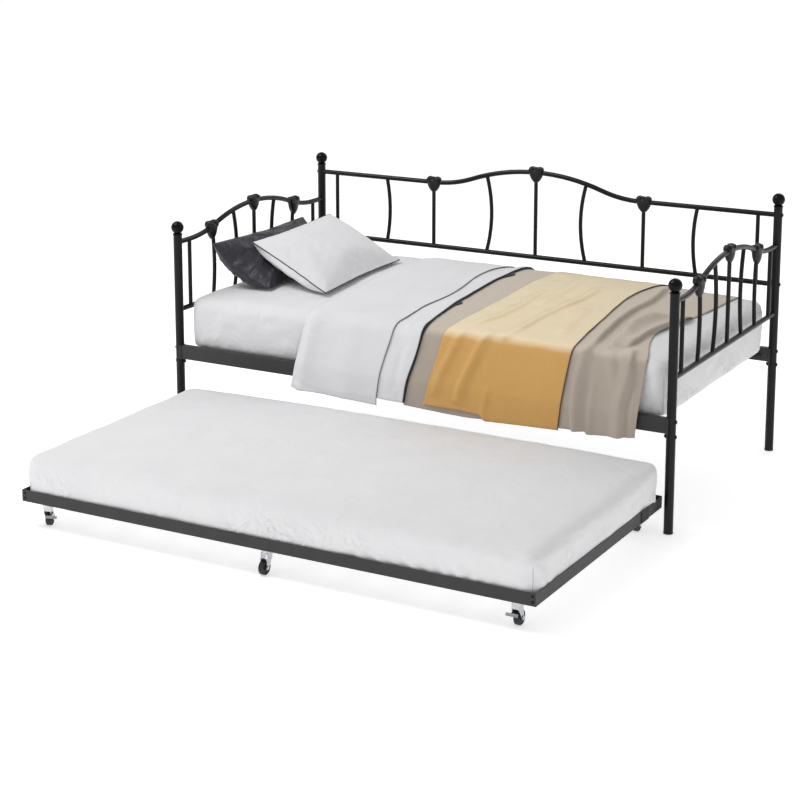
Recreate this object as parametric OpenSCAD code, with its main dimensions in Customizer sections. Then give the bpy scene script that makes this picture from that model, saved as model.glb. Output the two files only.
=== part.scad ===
// Steel daybed with a pull-out trundle on six braked casters, both beds made up.
// Millimetres, +Z up, +X to the right-hand arm, +Y to the back panel.
// Origin: centre of the whole footprint, on the floor, with the trundle pulled out towards -Y.

/* [Posts] */
// Distance between post centres along the bed
bed_l = 1960; // [1940:5:1990]
// Distance between post centres across the bed
bed_w = 1028; // [1016:2:1044]
// Outer diameter of the four posts
post_d = 32; // [30:1:34]
// Top of the front posts' tube
front_post_h = 816; // [800:1:830]
// Top of the back posts' tube
back_post_h = 931; // [915:1:945]
// Height at which an upper post meets its lower leg
leg_joint_h = 320; // [312:1:326]
// Diameter of the ball finials
finial_d = 47; // [42:1:50]

/* [Panels] */
// Outer diameter of the panel rails
rail_d = 19; // [18:0.5:20]
// Outer diameter of the spindles
spindle_d = 15; // [13:0.5:16]
// Wall of the rail and spindle tubes
tube_wall = 1.2; // [1:0.1:1.5]
// Height of the back panel's lower rail
back_low_h = 639.5; // [620:0.5:660]
// Height of the back panel's top rail at its ends
back_top_h = 901; // [890:1:910]
// Rise of the back panel's top rail to its crown
back_rise = 76; // [60:1:90]
// Height of the arms' lower rail
arm_low_h = 530; // [515:1:545]
// Height of the arms' top rail at its ends
arm_top_h = 787; // [775:1:800]
// Rise of the arms' top rail to its crown
arm_rise = 75; // [60:1:85]

/* [Deck] */
// Underside of the side rails
side_rail_z = 344; // [340:1:350]
// Height of the side rails
side_rail_h = 52; // [48:1:56]
// Number of deck slats
slat_count = 13; // [11:1:15]

/* [Trundle] */
// Length of the trundle frame
trundle_l = 1890; // [1860:5:1895]
// Width of the trundle frame
trundle_w = 977; // [950:1:985]
// Sideways offset of the trundle under the bed
trundle_x = 12; // [0:1:12]
// How far the trundle pulls out
pull_out = 980; // [900:5:1000]
// Underside of the trundle frame
trundle_z = 88; // [86:1:92]
// Height of the trundle's angle rails
angle_h = 40; // [36:1:44]
// Thickness of the trundle mattress
trundle_mattress_h = 154; // [120:2:160]

/* [Casters] */
// Diameter of the wheels
wheel_d = 48; // [46:1:50]
// Width of the wheels
wheel_w = 18; // [16:1:20]
// Distance of an axle behind its swivel stem
trail = 15; // [12:1:17]

/* [Bedding] */
// Length of the upper mattress
mattress_l = 1904; // [1880:2:1910]
// Width of the upper mattress
mattress_w = 990; // [940:2:994]
// Top of the upper mattress
mattress_top = 585; // [560:1:590]
// Lowest edge of the hanging covers
hem_z = 290; // [286:1:340]

/* [Hidden] */
CASTERS = ["front_left", "front_middle", "front_right", "back_left", "back_middle", "back_right"];

FRAME = [0.13, 0.13, 0.14];
STEEL = [0.75, 0.76, 0.78];
RUBBER = [0.06, 0.06, 0.06];
WHITE = [0.93, 0.93, 0.94];
eps = 0.5;          // overshoot of a cutting solid

// posts
post_wall = 1.5;
post_r = post_d / 2;
spigot_r = post_r - post_wall - 0.2;
spigot_h = 26;
cap_h = 5;          // visible height of a foot cap
cap_r = post_r + 0.6;
finial_lift = 27;   // centre of a ball above its post
plug_h = 18;        // depth of the plug that holds a cap or a finial in its tube
collar_h = 3;
neck_h = 5;
neck_r = 11;
bolt_r = 3;
bolt_hole_r = 3.3;
bolt_head_r = 6.5;
bolt_head_h = 3.4;
nut_h = 4.5;
rail_bolt_z = 385;
leg_bolt_z = 334;
post_x = bed_l / 2;
post_y = bed_w / 2;

// trundle box, across the bed and measured from the bed's centre
stowed_front = -516;
pulled_front = stowed_front - pull_out;
angle_t = 2;
end_bolt_h = 2.5;
y_shift = -(pulled_front - end_bolt_h + post_y + finial_d / 2) / 2;   // puts the origin mid-footprint

// panels
rail_r = rail_d / 2;
spindle_r = spindle_d / 2;
cope_r = rail_r + 0.1;
back_bow = [440, back_rise, 830];    // half length, rise and crown radius of a bowed top rail
arm_bow = [440, arm_rise, 800];
back_pitch = 226;
heart_drop = 9;     // centre of a heart below the rail it is cast on
lobe_r = 15.5;
lobe_x = 13.5;
lobe_z = 14.5;
tip_r = 6;
tip_z = -24;
rail_inset = 3;     // how far a panel rail's end is cut inside the post's axis
heart_bore_r = rail_r + 1.2;      // clears the rail's curve inside a heart
heart_socket_r = spindle_r + 0.5;
socket_depth = 40;  // length of spindle top that a heart hides

// deck
side_rail_w = 20;
side_rail_wall = 1.5;
rail_inner_y = post_y - side_rail_w / 2;
ledge_w = 26;
ledge_t = 2;
ledge_l = bed_l - 80;
slat_h = 16;
slat_w = 30;
slat_span = bed_l - 220;       // between the first and the last slat
slat_pitch = slat_span / (slat_count - 1);
slat_wall = 1.2;
screw_hole_r = 2.2;
ledge_z = 366;      // underside of the ledge that carries the slats
deck_z = ledge_z + ledge_t + slat_h;
saddle_t = 2.5;

// trundle
flange_w = 50;
end_flange_w = 30;
tab_w = 30;
tab_gap = 0.2;
end_bolt_x = 11;    // bolt line in from the end of a trundle rail
end_bolt_zs = [100, 117.5];
bar_h = 10;
bar_w = 30;
bar_pitch = 174;
bar_xs = [for (i = [-4.5:1:4.5]) i * bar_pitch];
pad_l = 60;
pad_t = 3;
pad_inset = 181;    // far end of a rubber pad from the back of the trundle
mattress_inset = [18, 17];   // how much shorter and narrower the trundle mattress is than its frame

// casters: place along the trundle, swivel angle at rest, side of the brake lever
stem_inset = 38;
caster_reach = 868;
CASTER_SET = [[-1, -1, 21, 1], [0, -1, 180, 1], [1, -1, 0, -1], [-1, 1, 8, 1], [0, 1, 0, -1], [1, 1, 0, -1]];
stem_r = 5;
axle_r = 4;
hub_r = 10;
axle_z = wheel_d / 2;
leg_in = wheel_w / 2 + 1.2;
leg_t = 2.5;
crown_z = 67.5;
crown_t = 2.5;
head_z = crown_z + crown_t;
cup_r = 17;         // bearing cup of the swivel, and the dome above it
cup_h = 10;
dome_r = 12;
dome_h = 4;
washer_r = 14;
race_gap = 0.3;
rivet = [4, 46];    // brake pivot on the fork leg, as [y, z]
rivet_r = 2.5;
shoe_gap = 3;
shoe_angle = 155;
lever_gap = 0.3;
lever_t = 2;

// bedding
corner_r = 40;      // plan radius of the mattress corners
cloth_t = 6;
cloth_gap = 0.4;
hang_y = -post_y - side_rail_w / 2 - 3;
cover_back = 470;   // back edge of the covers
top_sheet_x = [-440, 4];
blanket_x = [6, 880];
throw_x = [110, 600];
pillow_l = 640;
dark_section = [[-936, 746, 14], [-862, 662, 40], [-730, 604, 18]];   // leans on the left arm
dark_y = -25;
white_section = [[-175, 760, 14], [0, 690, 46], [172, 600, 13]];      // leans on the dark pillow
white_at = [-667, 30];
white_turn = 4;

module at_bed() translate([0, y_shift, 0]) children();
module at_trundle() translate([trundle_x, y_shift + pulled_front + trundle_w / 2, 0]) children();
module at_post(sx, sy) at_bed() translate([sx * post_x, sy * post_y, 0]) children();
module each_post() for (sx = [-1, 1], sy = [-1, 1]) at_post(sx, sy) children();
module along_x() rotate([0, 90, 0]) children();
module along_y() rotate([-90, 0, 0]) children();
module mirrored_x() for (m = [0, 1]) mirror([m, 0, 0]) children();
module post_envelopes(z0, h) each_post() translate([0, 0, z0]) cylinder(h = h, r = post_r, $fn = 64);

module pipe(h, r, wall) {
    difference() {
        cylinder(h = h, r = r, $fn = 48);
        translate([0, 0, -eps]) cylinder(h = h + 2 * eps, r = r - wall, $fn = 48);
    }
}

// ---------------------------------------------------------------- posts and feet

module post_tube(top, bolt_zs) {
    color(FRAME) difference() {
        translate([0, 0, leg_joint_h]) pipe(top - leg_joint_h, post_r, post_wall);
        for (z = bolt_zs) translate([0, 0, z]) along_x()
            cylinder(h = post_d + 2, r = bolt_hole_r, center = true, $fn = 24);
    }
}
front_bolt_zs = [leg_bolt_z, rail_bolt_z];
back_bolt_zs = [leg_bolt_z, rail_bolt_z, back_low_h, back_top_h];
module post_front_left() at_post(-1, -1) post_tube(front_post_h, front_bolt_zs);
module post_front_right() at_post(1, -1) post_tube(front_post_h, front_bolt_zs);
module post_back_left() at_post(-1, 1) post_tube(back_post_h, back_bolt_zs);
module post_back_right() at_post(1, 1) post_tube(back_post_h, back_bolt_zs);

module lower_leg() {
    difference() {
        union() {
            translate([0, 0, cap_h]) cylinder(h = leg_joint_h - cap_h, r = post_r, $fn = 64);
            translate([0, 0, leg_joint_h]) cylinder(h = spigot_h, r = spigot_r, $fn = 64);
        }
        translate([0, 0, -eps]) cylinder(h = leg_joint_h + spigot_h + 2, r = spigot_r - post_wall, $fn = 64);
        translate([0, 0, leg_bolt_z]) along_x()
            cylinder(h = post_d + 2, r = bolt_hole_r, center = true, $fn = 24);
    }
}
module lower_legs() color(FRAME) each_post() lower_leg();

module foot_cap() {
    cylinder(h = 1, r1 = cap_r - 1, r2 = cap_r, $fn = 64);
    translate([0, 0, 1]) cylinder(h = cap_h - 1, r = cap_r, $fn = 64);
    translate([0, 0, cap_h]) cylinder(h = plug_h, r = spigot_r - post_wall - 0.1, $fn = 64);
}
module foot_caps() color(RUBBER) each_post() foot_cap();

module ball_finial() {
    translate([0, 0, -plug_h]) cylinder(h = plug_h, r = post_r - post_wall - 0.1, $fn = 64);
    cylinder(h = collar_h, r = post_r + 2, $fn = 64);
    translate([0, 0, collar_h]) cylinder(h = neck_h, r1 = post_r + 2, r2 = neck_r, $fn = 64);
    translate([0, 0, finial_lift]) sphere(d = finial_d, $fn = 64);
}
module ball_finials() {
    color(FRAME) for (sx = [-1, 1]) {
        at_post(sx, -1) translate([0, 0, front_post_h]) ball_finial();
        at_post(sx, 1) translate([0, 0, back_post_h]) ball_finial();
    }
}

// ---------------------------------------------------------------- bowed rails and hearts

// A bowed rail runs level, dips into one arc, rises over a crown arc and mirrors itself.
function bow_sum(b) = (b[0] * b[0] + b[1] * b[1]) / (2 * b[1]);
function bow_angle(b) = asin(b[0] / bow_sum(b));
function bow_dip_r(b) = bow_sum(b) - b[2];
function bow_crown(b, t) = [b[2] * sin(t), b[1] - b[2] + b[2] * cos(t), -t];
function bow_dip(b, t) = [-b[0] + bow_dip_r(b) * sin(t), bow_dip_r(b) * (1 - cos(t)), t];
// place and slope of the rail's centre line, as [x, z, slope]
function bow_at(b, x) =
    let (bend = b[2] * sin(bow_angle(b)), a = abs(x))
    a >= b[0] ? [x, 0, 0] :
    a <= bend ? bow_crown(b, asin(x / b[2])) :
    let (t = asin((b[0] - a) / bow_dip_r(b)), p = bow_dip(b, t))
    x < 0 ? p : [-p[0], p[1], -p[2]];
function bow_path(b, end) =
    let (f = bow_angle(b), n = 8, m = 16)
    concat([[-end, 0, 0]],
        [for (i = [0:n - 1]) bow_dip(b, f * i / n)],
        [for (i = [0:m]) bow_crown(b, -f + 2 * f * i / m)],
        [for (i = [n - 1:-1:0]) let (p = bow_dip(b, f * i / n)) [-p[0], p[1], -p[2]]],
        [[end, 0, 0]]);
function ring(p, r, n) =
    [for (k = [0:n - 1]) let (a = 360 * k / n)
        [p[0] - r * sin(a) * sin(p[2]), r * cos(a), p[1] + r * sin(a) * cos(p[2])]];

module sweep(path, r, n) {
    last = len(path) - 1;
    polyhedron(
        points = [for (p = path) each ring(p, r, n)],
        faces = concat(
            [[for (k = [0:n - 1]) k]],
            [for (i = [0:last - 1], k = [0:n - 1])
                [i * n + k, (i + 1) * n + k, (i + 1) * n + (k + 1) % n, i * n + (k + 1) % n]],
            [[for (k = [n - 1:-1:0]) last * n + k]]));
}
module bowed_rail(b, end) {
    difference() {
        sweep(bow_path(b, end), rail_r, 16);
        sweep(bow_path(b, end + 2), rail_r - tube_wall, 8);
    }
}

module heart_lobe(side) {
    hull() {
        translate([side * lobe_x, 0, lobe_z]) sphere(r = lobe_r, $fn = 16);
        translate([0, 0, tip_z]) sphere(r = tip_r, $fn = 16);
    }
}
// A heart is cast round the rail and the top of its spindle, which may lean.
module heart(slope, lean) {
    difference() {
        union() {
            heart_lobe(-1);
            heart_lobe(1);
        }
        translate([0, 0, heart_drop]) rotate([0, -slope, 0]) along_x()
            cylinder(h = 120, r = heart_bore_r, center = true, $fn = 32);
        translate([0, 0, heart_drop]) rotate([0, lean, 0]) translate([0, 0, -2 * socket_depth])
            cylinder(h = 2 * socket_depth, r = heart_socket_r, $fn = 32);
    }
}
module heart_on(b, low_z, top_z, x, bulge) {
    p = bow_at(b, x);
    translate([x, 0, top_z + p[1] - heart_drop]) heart(p[2], spindle_lean(top_z + p[1] - low_z, bulge));
}

// ---------------------------------------------------------------- spindles

// radius of the arc that bends a spindle of height h sideways by bulge
function spindle_arc_r(h, bulge) = (h * h / 4 + bulge * bulge) / (2 * abs(bulge));
// lean of a spindle's top from upright, taken halfway down its socket
function spindle_lean(h, bulge) =
    bulge == 0 ? 0 : -sign(bulge) * asin((h - socket_depth) / 2 / spindle_arc_r(h, bulge));

// A spindle stands from the lower rail to the top rail; bulge bends it sideways as one arc.
module spindle(b, low_z, top_z, x, bulge) {
    p = bow_at(b, x);
    h = top_z + p[1] - low_z;
    difference() {
        translate([x, 0, low_z]) spindle_tube(h, bulge);
        translate([x, 0, low_z]) along_x() cylinder(h = 80, r = cope_r, center = true, $fn = 32);
        translate([x, 0, low_z + h]) rotate([0, -p[2], 0]) along_x()
            cylinder(h = 80, r = cope_r, center = true, $fn = 32);
    }
}
module spindle_tube(h, bulge) {
    if (bulge == 0) {
        pipe(h, spindle_r, tube_wall);
    } else {
        r = spindle_arc_r(h, bulge);
        a = asin(h / 2 / r);
        mirror([bulge < 0 ? 1 : 0, 0, 0]) translate([abs(bulge) - r, 0, h / 2])
            rotate([90, 0, 0]) rotate([0, 0, -a])
            rotate_extrude(angle = 2 * a, $fn = 72) translate([r, 0]) difference() {
                circle(r = spindle_r, $fn = 32);
                circle(r = spindle_r - tube_wall, $fn = 32);
            }
    }
}

// ---------------------------------------------------------------- back panel

back_straight_xs = [0, 2 * back_pitch, 4 * back_pitch];
back_curved = [[back_pitch - 12, 22], [3 * back_pitch - 10, 14]];   // [x, bulge towards the middle]
back_heart_xs = [-2 * back_pitch, 0, 2 * back_pitch];

module at_back() translate([0, y_shift + post_y, 0]) children();
module back_top_rail() {
    color(FRAME) difference() {
        at_back() translate([0, 0, back_top_h]) bowed_rail(back_bow, post_x - rail_inset);
        post_envelopes(back_top_h - 30, 60);
    }
}
module back_bottom_rail() {
    color(FRAME) difference() {
        at_back() translate([rail_inset - post_x, 0, back_low_h]) along_x()
            pipe(bed_l - 2 * rail_inset, rail_r, tube_wall);
        post_envelopes(back_low_h - 30, 60);
    }
}
module back_spindles() {
    color(FRAME) at_back() {
        spindle(back_bow, back_low_h, back_top_h, 0, 0);
        for (s = [-1, 1]) {
            for (i = [1, 2]) spindle(back_bow, back_low_h, back_top_h, s * back_straight_xs[i], 0);
            for (c = back_curved) spindle(back_bow, back_low_h, back_top_h, s * c[0], -s * c[1]);
        }
    }
}
module back_hearts() {
    color(FRAME) at_back() for (x = back_heart_xs) heart_on(back_bow, back_low_h, back_top_h, x, 0);
}

// ---------------------------------------------------------------- arms

arm_straight_ys = [0, 440];
arm_curved = [[146, 22], [290, 12]];

module at_arm(side) translate([side * post_x, y_shift, 0]) rotate([0, 0, 90]) children();
module arm_top_rail(side) {
    color(FRAME) difference() {
        at_arm(side) translate([0, 0, arm_top_h]) bowed_rail(arm_bow, post_y - rail_inset);
        post_envelopes(arm_top_h - 30, 60);
    }
}
module arm_bottom_rail(side) {
    color(FRAME) difference() {
        at_arm(side) translate([rail_inset - post_y, 0, arm_low_h]) along_x()
            pipe(bed_w - 2 * rail_inset, rail_r, tube_wall);
        post_envelopes(arm_low_h - 30, 60);
    }
}
module arm_spindles(side) {
    color(FRAME) at_arm(side) {
        spindle(arm_bow, arm_low_h, arm_top_h, 0, 0);
        for (s = [-1, 1]) {
            spindle(arm_bow, arm_low_h, arm_top_h, s * arm_straight_ys[1], 0);
            for (c = arm_curved) spindle(arm_bow, arm_low_h, arm_top_h, s * c[0], -s * c[1]);
        }
    }
}
module arm_hearts(side) {
    color(FRAME) at_arm(side) {
        heart_on(arm_bow, arm_low_h, arm_top_h, 0, 0);
        for (s = [-1, 1])
            heart_on(arm_bow, arm_low_h, arm_top_h, s * arm_curved[1][0], -s * arm_curved[1][1]);
    }
}
module left_arm_top_rail() arm_top_rail(-1);
module left_arm_bottom_rail() arm_bottom_rail(-1);
module left_arm_spindles() arm_spindles(-1);
module left_arm_hearts() arm_hearts(-1);
module right_arm_top_rail() arm_top_rail(1);
module right_arm_bottom_rail() arm_bottom_rail(1);
module right_arm_spindles() arm_spindles(1);
module right_arm_hearts() arm_hearts(1);

// ---------------------------------------------------------------- side rails and deck

// Box-section rail with a welded ledge inside and a saddle that hugs each post.
module side_rail(sy) {
    inner = sy * rail_inner_y;
    color(FRAME) difference() {
        at_bed() union() {
            translate([0, sy * post_y, side_rail_z + side_rail_h / 2]) difference() {
                cube([bed_l - 2 * post_r + 8, side_rail_w, side_rail_h], center = true);
                cube([bed_l, side_rail_w - 2 * side_rail_wall, side_rail_h - 2 * side_rail_wall],
                    center = true);
            }
            translate([-ledge_l / 2, min(inner, inner - sy * ledge_w), ledge_z])
                cube([ledge_l, ledge_w, ledge_t]);
            for (sx = [-1, 1]) translate([sx * post_x, sy * post_y, side_rail_z]) saddle(sx);
        }
        post_envelopes(side_rail_z - 20, side_rail_h + 40);
        at_bed() for (sx = [-1, 1]) translate([sx * post_x, sy * post_y, rail_bolt_z]) along_x()
            cylinder(h = 2 * (post_r + 10), r = bolt_hole_r, center = true, $fn = 24);
        at_bed() for (x = slat_xs()) translate([x, sy * screw_y, ledge_z - 1])
            cylinder(h = ledge_t + 2, r = screw_hole_r, $fn = 24);
    }
}
module saddle(sx) {
    difference() {
        cylinder(h = side_rail_h, r = post_r + saddle_t, $fn = 64);
        translate([sx * 30 - 4 * sx, 0, side_rail_h / 2]) cube([60, 60, side_rail_h + 2], center = true);
    }
}
function slat_xs() = [for (i = [0:slat_count - 1]) -slat_span / 2 + i * slat_pitch];
screw_y = rail_inner_y - ledge_w / 2;
module front_side_rail() side_rail(-1);
module back_side_rail() side_rail(1);

module deck_slat() {
    difference() {
        cube([slat_w, 2 * rail_inner_y - 4, slat_h], center = true);
        cube([slat_w - 2 * slat_wall, 2 * rail_inner_y, slat_h - 2 * slat_wall], center = true);
        for (s = [-1, 1]) translate([0, s * screw_y, -slat_h / 2])
            cylinder(h = 6, r = screw_hole_r, center = true, $fn = 24);
    }
}
module deck_slats() {
    color(FRAME) at_bed() for (x = slat_xs()) translate([x, 0, deck_z - slat_h / 2]) deck_slat();
}
module deck_screws() {
    color(STEEL) at_bed() for (x = slat_xs(), s = [-1, 1]) translate([x, s * screw_y, ledge_z]) {
        translate([0, 0, -2.5]) cylinder(h = 2.5, r = 4.5, $fn = 24);
        cylinder(h = 8, r = 2, $fn = 24);
    }
}

// ---------------------------------------------------------------- frame fasteners

// Dome-headed bolt along X, its head on the outer side of a post, its shank running inwards.
module post_bolt(sx, reach) {
    difference() {
        translate([sx * (post_r - 1), 0, 0]) rotate([0, sx * 90, 0]) {
            cylinder(h = bolt_head_h, r = bolt_head_r, $fn = 32);
            translate([0, 0, bolt_head_h]) cylinder(h = 1.4, r1 = bolt_head_r, r2 = 4, $fn = 32);
        }
        cylinder(h = 40, r = post_r, center = true, $fn = 64);
    }
    translate([sx * (post_r + 1), 0, 0]) rotate([0, -sx * 90, 0]) cylinder(h = reach, r = bolt_r, $fn = 24);
}
module frame_bolts() {
    color(FRAME) for (sx = [-1, 1]) {
        for (sy = [-1, 1]) at_post(sx, sy) {
            translate([0, 0, rail_bolt_z]) post_bolt(sx, 2 * post_r + 8);
            translate([0, 0, leg_bolt_z]) post_bolt(sx, 2 * post_r + 7);
        }
        for (z = [back_low_h, back_top_h]) at_post(sx, 1) translate([0, 0, z]) post_bolt(sx, 2 * post_r + 16);
    }
}
module hex_nut(h) {
    difference() {
        cylinder(h = h, r = 5.8, $fn = 6);
        translate([0, 0, -1]) cylinder(h = h + 2, r = bolt_r, $fn = 24);
    }
}
// fits the bore of a bowed rail, which is eight-sided
insert_r = (rail_r - tube_wall) * cos(180 / 8) - 0.1;
module insert_nut() pipe(14, insert_r, insert_r - bolt_r);
module frame_nuts() {
    color(FRAME) for (sx = [-1, 1]) {
        for (sy = [-1, 1]) at_post(sx, sy) {
            translate([-sx * (post_r + saddle_t + 0.3), 0, rail_bolt_z]) rotate([0, -sx * 90, 0])
                hex_nut(nut_h);
            difference() {
                translate([-sx * (post_r - 1), 0, leg_bolt_z]) rotate([0, -sx * 90, 0])
                    pipe(3, 8, 8 - bolt_r);
                cylinder(h = 1000, r = post_r + 0.05, $fn = 64);
            }
            translate([-sx * (post_r + 2.2), 0, leg_bolt_z]) rotate([0, -sx * 90, 0]) hex_nut(nut_h);
        }
        for (z = [back_low_h, back_top_h]) at_post(sx, 1)
            translate([-sx * (post_r + 2), 0, z]) rotate([0, -sx * 90, 0]) insert_nut();
    }
}

// ---------------------------------------------------------------- bedding

module soft_block(l, w, z0, z1, r) {
    translate([0, 0, z0]) linear_extrude(height = z1 - z0) {
        square([l - 2 * r, w], center = true);
        square([l, w - 2 * r], center = true);
        for (sx = [-1, 1], sy = [-1, 1]) translate([sx * (l / 2 - r), sy * (w / 2 - r)])
            circle(r = r, $fn = 48);
    }
}
module mattress() {
    color(WHITE) at_bed() soft_block(mattress_l, mattress_w, deck_z + cloth_gap, mattress_top, corner_r);
}

// A pillow's section is three circles in the XZ plane, [x, z, radius], stretched along its length.
module pillow(circles, length) {
    hull() for (c = circles, s = [-1, 1])
        translate([c[0], s * (length / 2 - c[2]), c[1]]) sphere(r = c[2], $fn = 16);
}
module dark_pillow() {
    color([0.24, 0.23, 0.27]) at_bed() translate([0, dark_y, 0]) pillow(dark_section, pillow_l);
}
module white_pillow() {
    color(WHITE) at_bed() translate([white_at[0], white_at[1], 0]) rotate([0, 0, white_turn])
        pillow(white_section, pillow_l);
}

// A cover lies on the mattress and hangs over the front side rail.
module cover(x, layer) {
    up = mattress_top + cloth_gap + layer * (cloth_t + cloth_gap);
    out = hang_y - layer * (cloth_t + cloth_gap);
    at_bed() translate([x[0], 0, 0]) rotate([90, 0, 90]) linear_extrude(height = x[1] - x[0])
        polygon([[cover_back, up], [cover_back, up + cloth_t], [out - cloth_t, up + cloth_t],
                 [out - cloth_t, hem_z], [out, hem_z], [out, up]]);
}
module top_sheet() color(WHITE) cover(top_sheet_x, 0);
module blanket() color([0.72, 0.67, 0.62]) cover(blanket_x, 0);
module throw() color([0.86, 0.66, 0.34]) cover(throw_x, 1);

// ---------------------------------------------------------------- trundle frame

half_l = trundle_l / 2;
half_w = trundle_w / 2;
module end_bolt_holes() {
    for (sx = [-1, 1], z = end_bolt_zs) translate([sx * (half_l - end_bolt_x), 0, z]) along_y()
        cylinder(h = trundle_w + 20, r = bolt_hole_r, center = true, $fn = 24);
}
// Angle section along X, its flange turned inwards and drilled for three caster stems.
module long_angle(sy) {
    color(FRAME) at_trundle() difference() {
        union() {
            translate([-half_l, sy > 0 ? half_w - angle_t : -half_w, trundle_z])
                cube([trundle_l, angle_t, angle_h]);
            translate([-half_l, sy > 0 ? half_w - flange_w : -half_w, trundle_z])
                cube([trundle_l, flange_w, angle_t]);
        }
        end_bolt_holes();
        for (i = [-1:1]) translate([i * caster_reach, sy * (half_w - stem_inset), trundle_z - 1])
            cylinder(h = angle_t + 2, r = stem_r + 0.2, $fn = 32);
    }
}
module trundle_front_rail() long_angle(-1);
module trundle_back_rail() long_angle(1);

// Angle section along Y with a bent tab at each end that bolts behind the long rails.
module end_angle(sx) {
    long = trundle_w - 2 * angle_t - 2 * tab_gap;
    gap = trundle_w - 2 * flange_w - 2 * tab_gap;
    web_x = sx > 0 ? half_l - angle_t : -half_l;
    tab_x = sx > 0 ? half_l - tab_w : -half_l;
    flange_x = sx > 0 ? half_l - end_flange_w : -half_l;
    z0 = trundle_z + angle_t + tab_gap;
    color(FRAME) at_trundle() difference() {
        union() {
            translate([web_x, -long / 2, z0]) cube([angle_t, long, angle_h - angle_t - tab_gap]);
            translate([web_x, -gap / 2, trundle_z]) cube([angle_t, gap, angle_h]);
            translate([flange_x, -gap / 2, trundle_z]) cube([end_flange_w, gap, angle_t]);
            for (sy = [-1, 1]) translate([tab_x, sy > 0 ? long / 2 - angle_t : -long / 2, z0])
                cube([tab_w, angle_t, angle_h - angle_t - tab_gap]);
        }
        end_bolt_holes();
    }
}
module trundle_left_rail() end_angle(-1);
module trundle_right_rail() end_angle(1);

module trundle_bar() {
    difference() {
        cube([bar_w, trundle_w - 4 * angle_t - 6, bar_h], center = true);
        cube([bar_w - 2 * slat_wall, trundle_w, bar_h - 2 * slat_wall], center = true);
    }
}
module trundle_slats() {
    color(FRAME) at_trundle() for (x = bar_xs)
        translate([x, 0, trundle_z + angle_t + bar_h / 2]) trundle_bar();
}

module each_end_bolt() {
    at_trundle() for (sx = [-1, 1], m = [0, 1], z = end_bolt_zs)
        mirror([0, m, 0]) translate([sx * (half_l - end_bolt_x), -half_w, z]) children();
}
module trundle_bolts() {
    color(FRAME) each_end_bolt() {
        translate([0, -end_bolt_h, 0]) along_y() cylinder(h = end_bolt_h, r1 = 4, r2 = 5.5, $fn = 32);
        along_y() cylinder(h = 10, r = bolt_r, $fn = 24);
    }
}
module trundle_nuts() {
    color(FRAME) each_end_bolt() translate([0, 2 * angle_t + 2 * tab_gap, 0]) along_y() hex_nut(nut_h);
}

module trundle_bumpers() {
    color(RUBBER) at_trundle() mirrored_x()
        translate([half_l, half_w - pad_inset, trundle_z]) cube([pad_t, pad_l, angle_h]);
}
module trundle_mattress() {
    bottom = trundle_z + angle_t + bar_h + cloth_gap;
    size = [trundle_l, trundle_w] - mattress_inset;
    color(WHITE) at_trundle() soft_block(size[0], size[1], bottom, bottom + trundle_mattress_h, corner_r);
}

// ---------------------------------------------------------------- casters

module at_caster(i) {
    c = CASTER_SET[i];
    at_trundle() translate([c[0] * caster_reach, c[1] * (half_w - stem_inset), 0]) children();
}
// The swivelling parts: turned to their angle at rest, brake on the chosen side.
module at_swivel(i) {
    c = CASTER_SET[i];
    at_caster(i) rotate([0, 0, c[2]]) mirror([c[3] < 0 ? 1 : 0, 0, 0]) children();
}

module caster_stem() {
    translate([0, 0, crown_z - 3]) cylinder(h = 2.7, r = 8, $fn = 32);
    translate([0, 0, crown_z - 1]) cylinder(h = trundle_z + 12 - crown_z, r = stem_r, $fn = 32);
    translate([0, 0, head_z + cup_h + dome_h + race_gap])
        cylinder(h = trundle_z - head_z - cup_h - dome_h - race_gap, r = washer_r, $fn = 32);
    translate([0, 0, trundle_z + angle_t]) cylinder(h = 6, r = 9, $fn = 6);
}
module caster_stems() color(STEEL) for (i = [0:len(CASTERS) - 1]) at_caster(i) caster_stem();

module fork_leg() {
    rotate([90, 0, 90]) linear_extrude(height = leg_t) union() {
        polygon([[-13, head_z], [-13, 56], [trail - 8, axle_z - 2],
                 [trail + 7, axle_z - 2], [17, 56], [17, head_z]]);
        translate([trail, axle_z]) circle(r = 8, $fn = 32);
    }
}
module axle(half) {
    along_x() cylinder(h = 2 * half, r = axle_r, center = true, $fn = 32);
    mirrored_x() translate([half, 0, 0]) along_x() cylinder(h = 2, r = 6.5, $fn = 32);
}
module fork() {
    width = 2 * (leg_in + leg_t);
    color(STEEL) {
        difference() {
            union() {
                translate([leg_in, 0, 0]) fork_leg();
                translate([-leg_in - leg_t, 0, 0]) fork_leg();
                translate([-width / 2, -13, crown_z]) cube([width, 30, crown_t]);
                translate([-width / 2, -13, crown_z - 11]) cube([width, 2, 13]);
                translate([0, 0, head_z]) cylinder(h = cup_h, r = cup_r, $fn = 48);
                translate([0, 0, head_z + cup_h]) cylinder(h = dome_h, r1 = cup_r, r2 = dome_r, $fn = 48);
            }
            translate([0, 0, crown_z - 2]) cylinder(h = 24, r = stem_r + 0.05, $fn = 32);
            translate([0, trail, axle_z]) along_x()
                cylinder(h = 60, r = axle_r + 0.1, center = true, $fn = 32);
        }
        translate([0, trail, axle_z]) axle(width / 2 + 0.2);
        translate([width / 2, rivet[0], rivet[1]]) along_x() {
            cylinder(h = lever_t + 2 * lever_gap + 0.2, r = rivet_r, $fn = 32);
            translate([0, 0, lever_t + 2 * lever_gap]) cylinder(h = 1.6, r = 4, $fn = 32);
        }
    }
}

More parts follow.
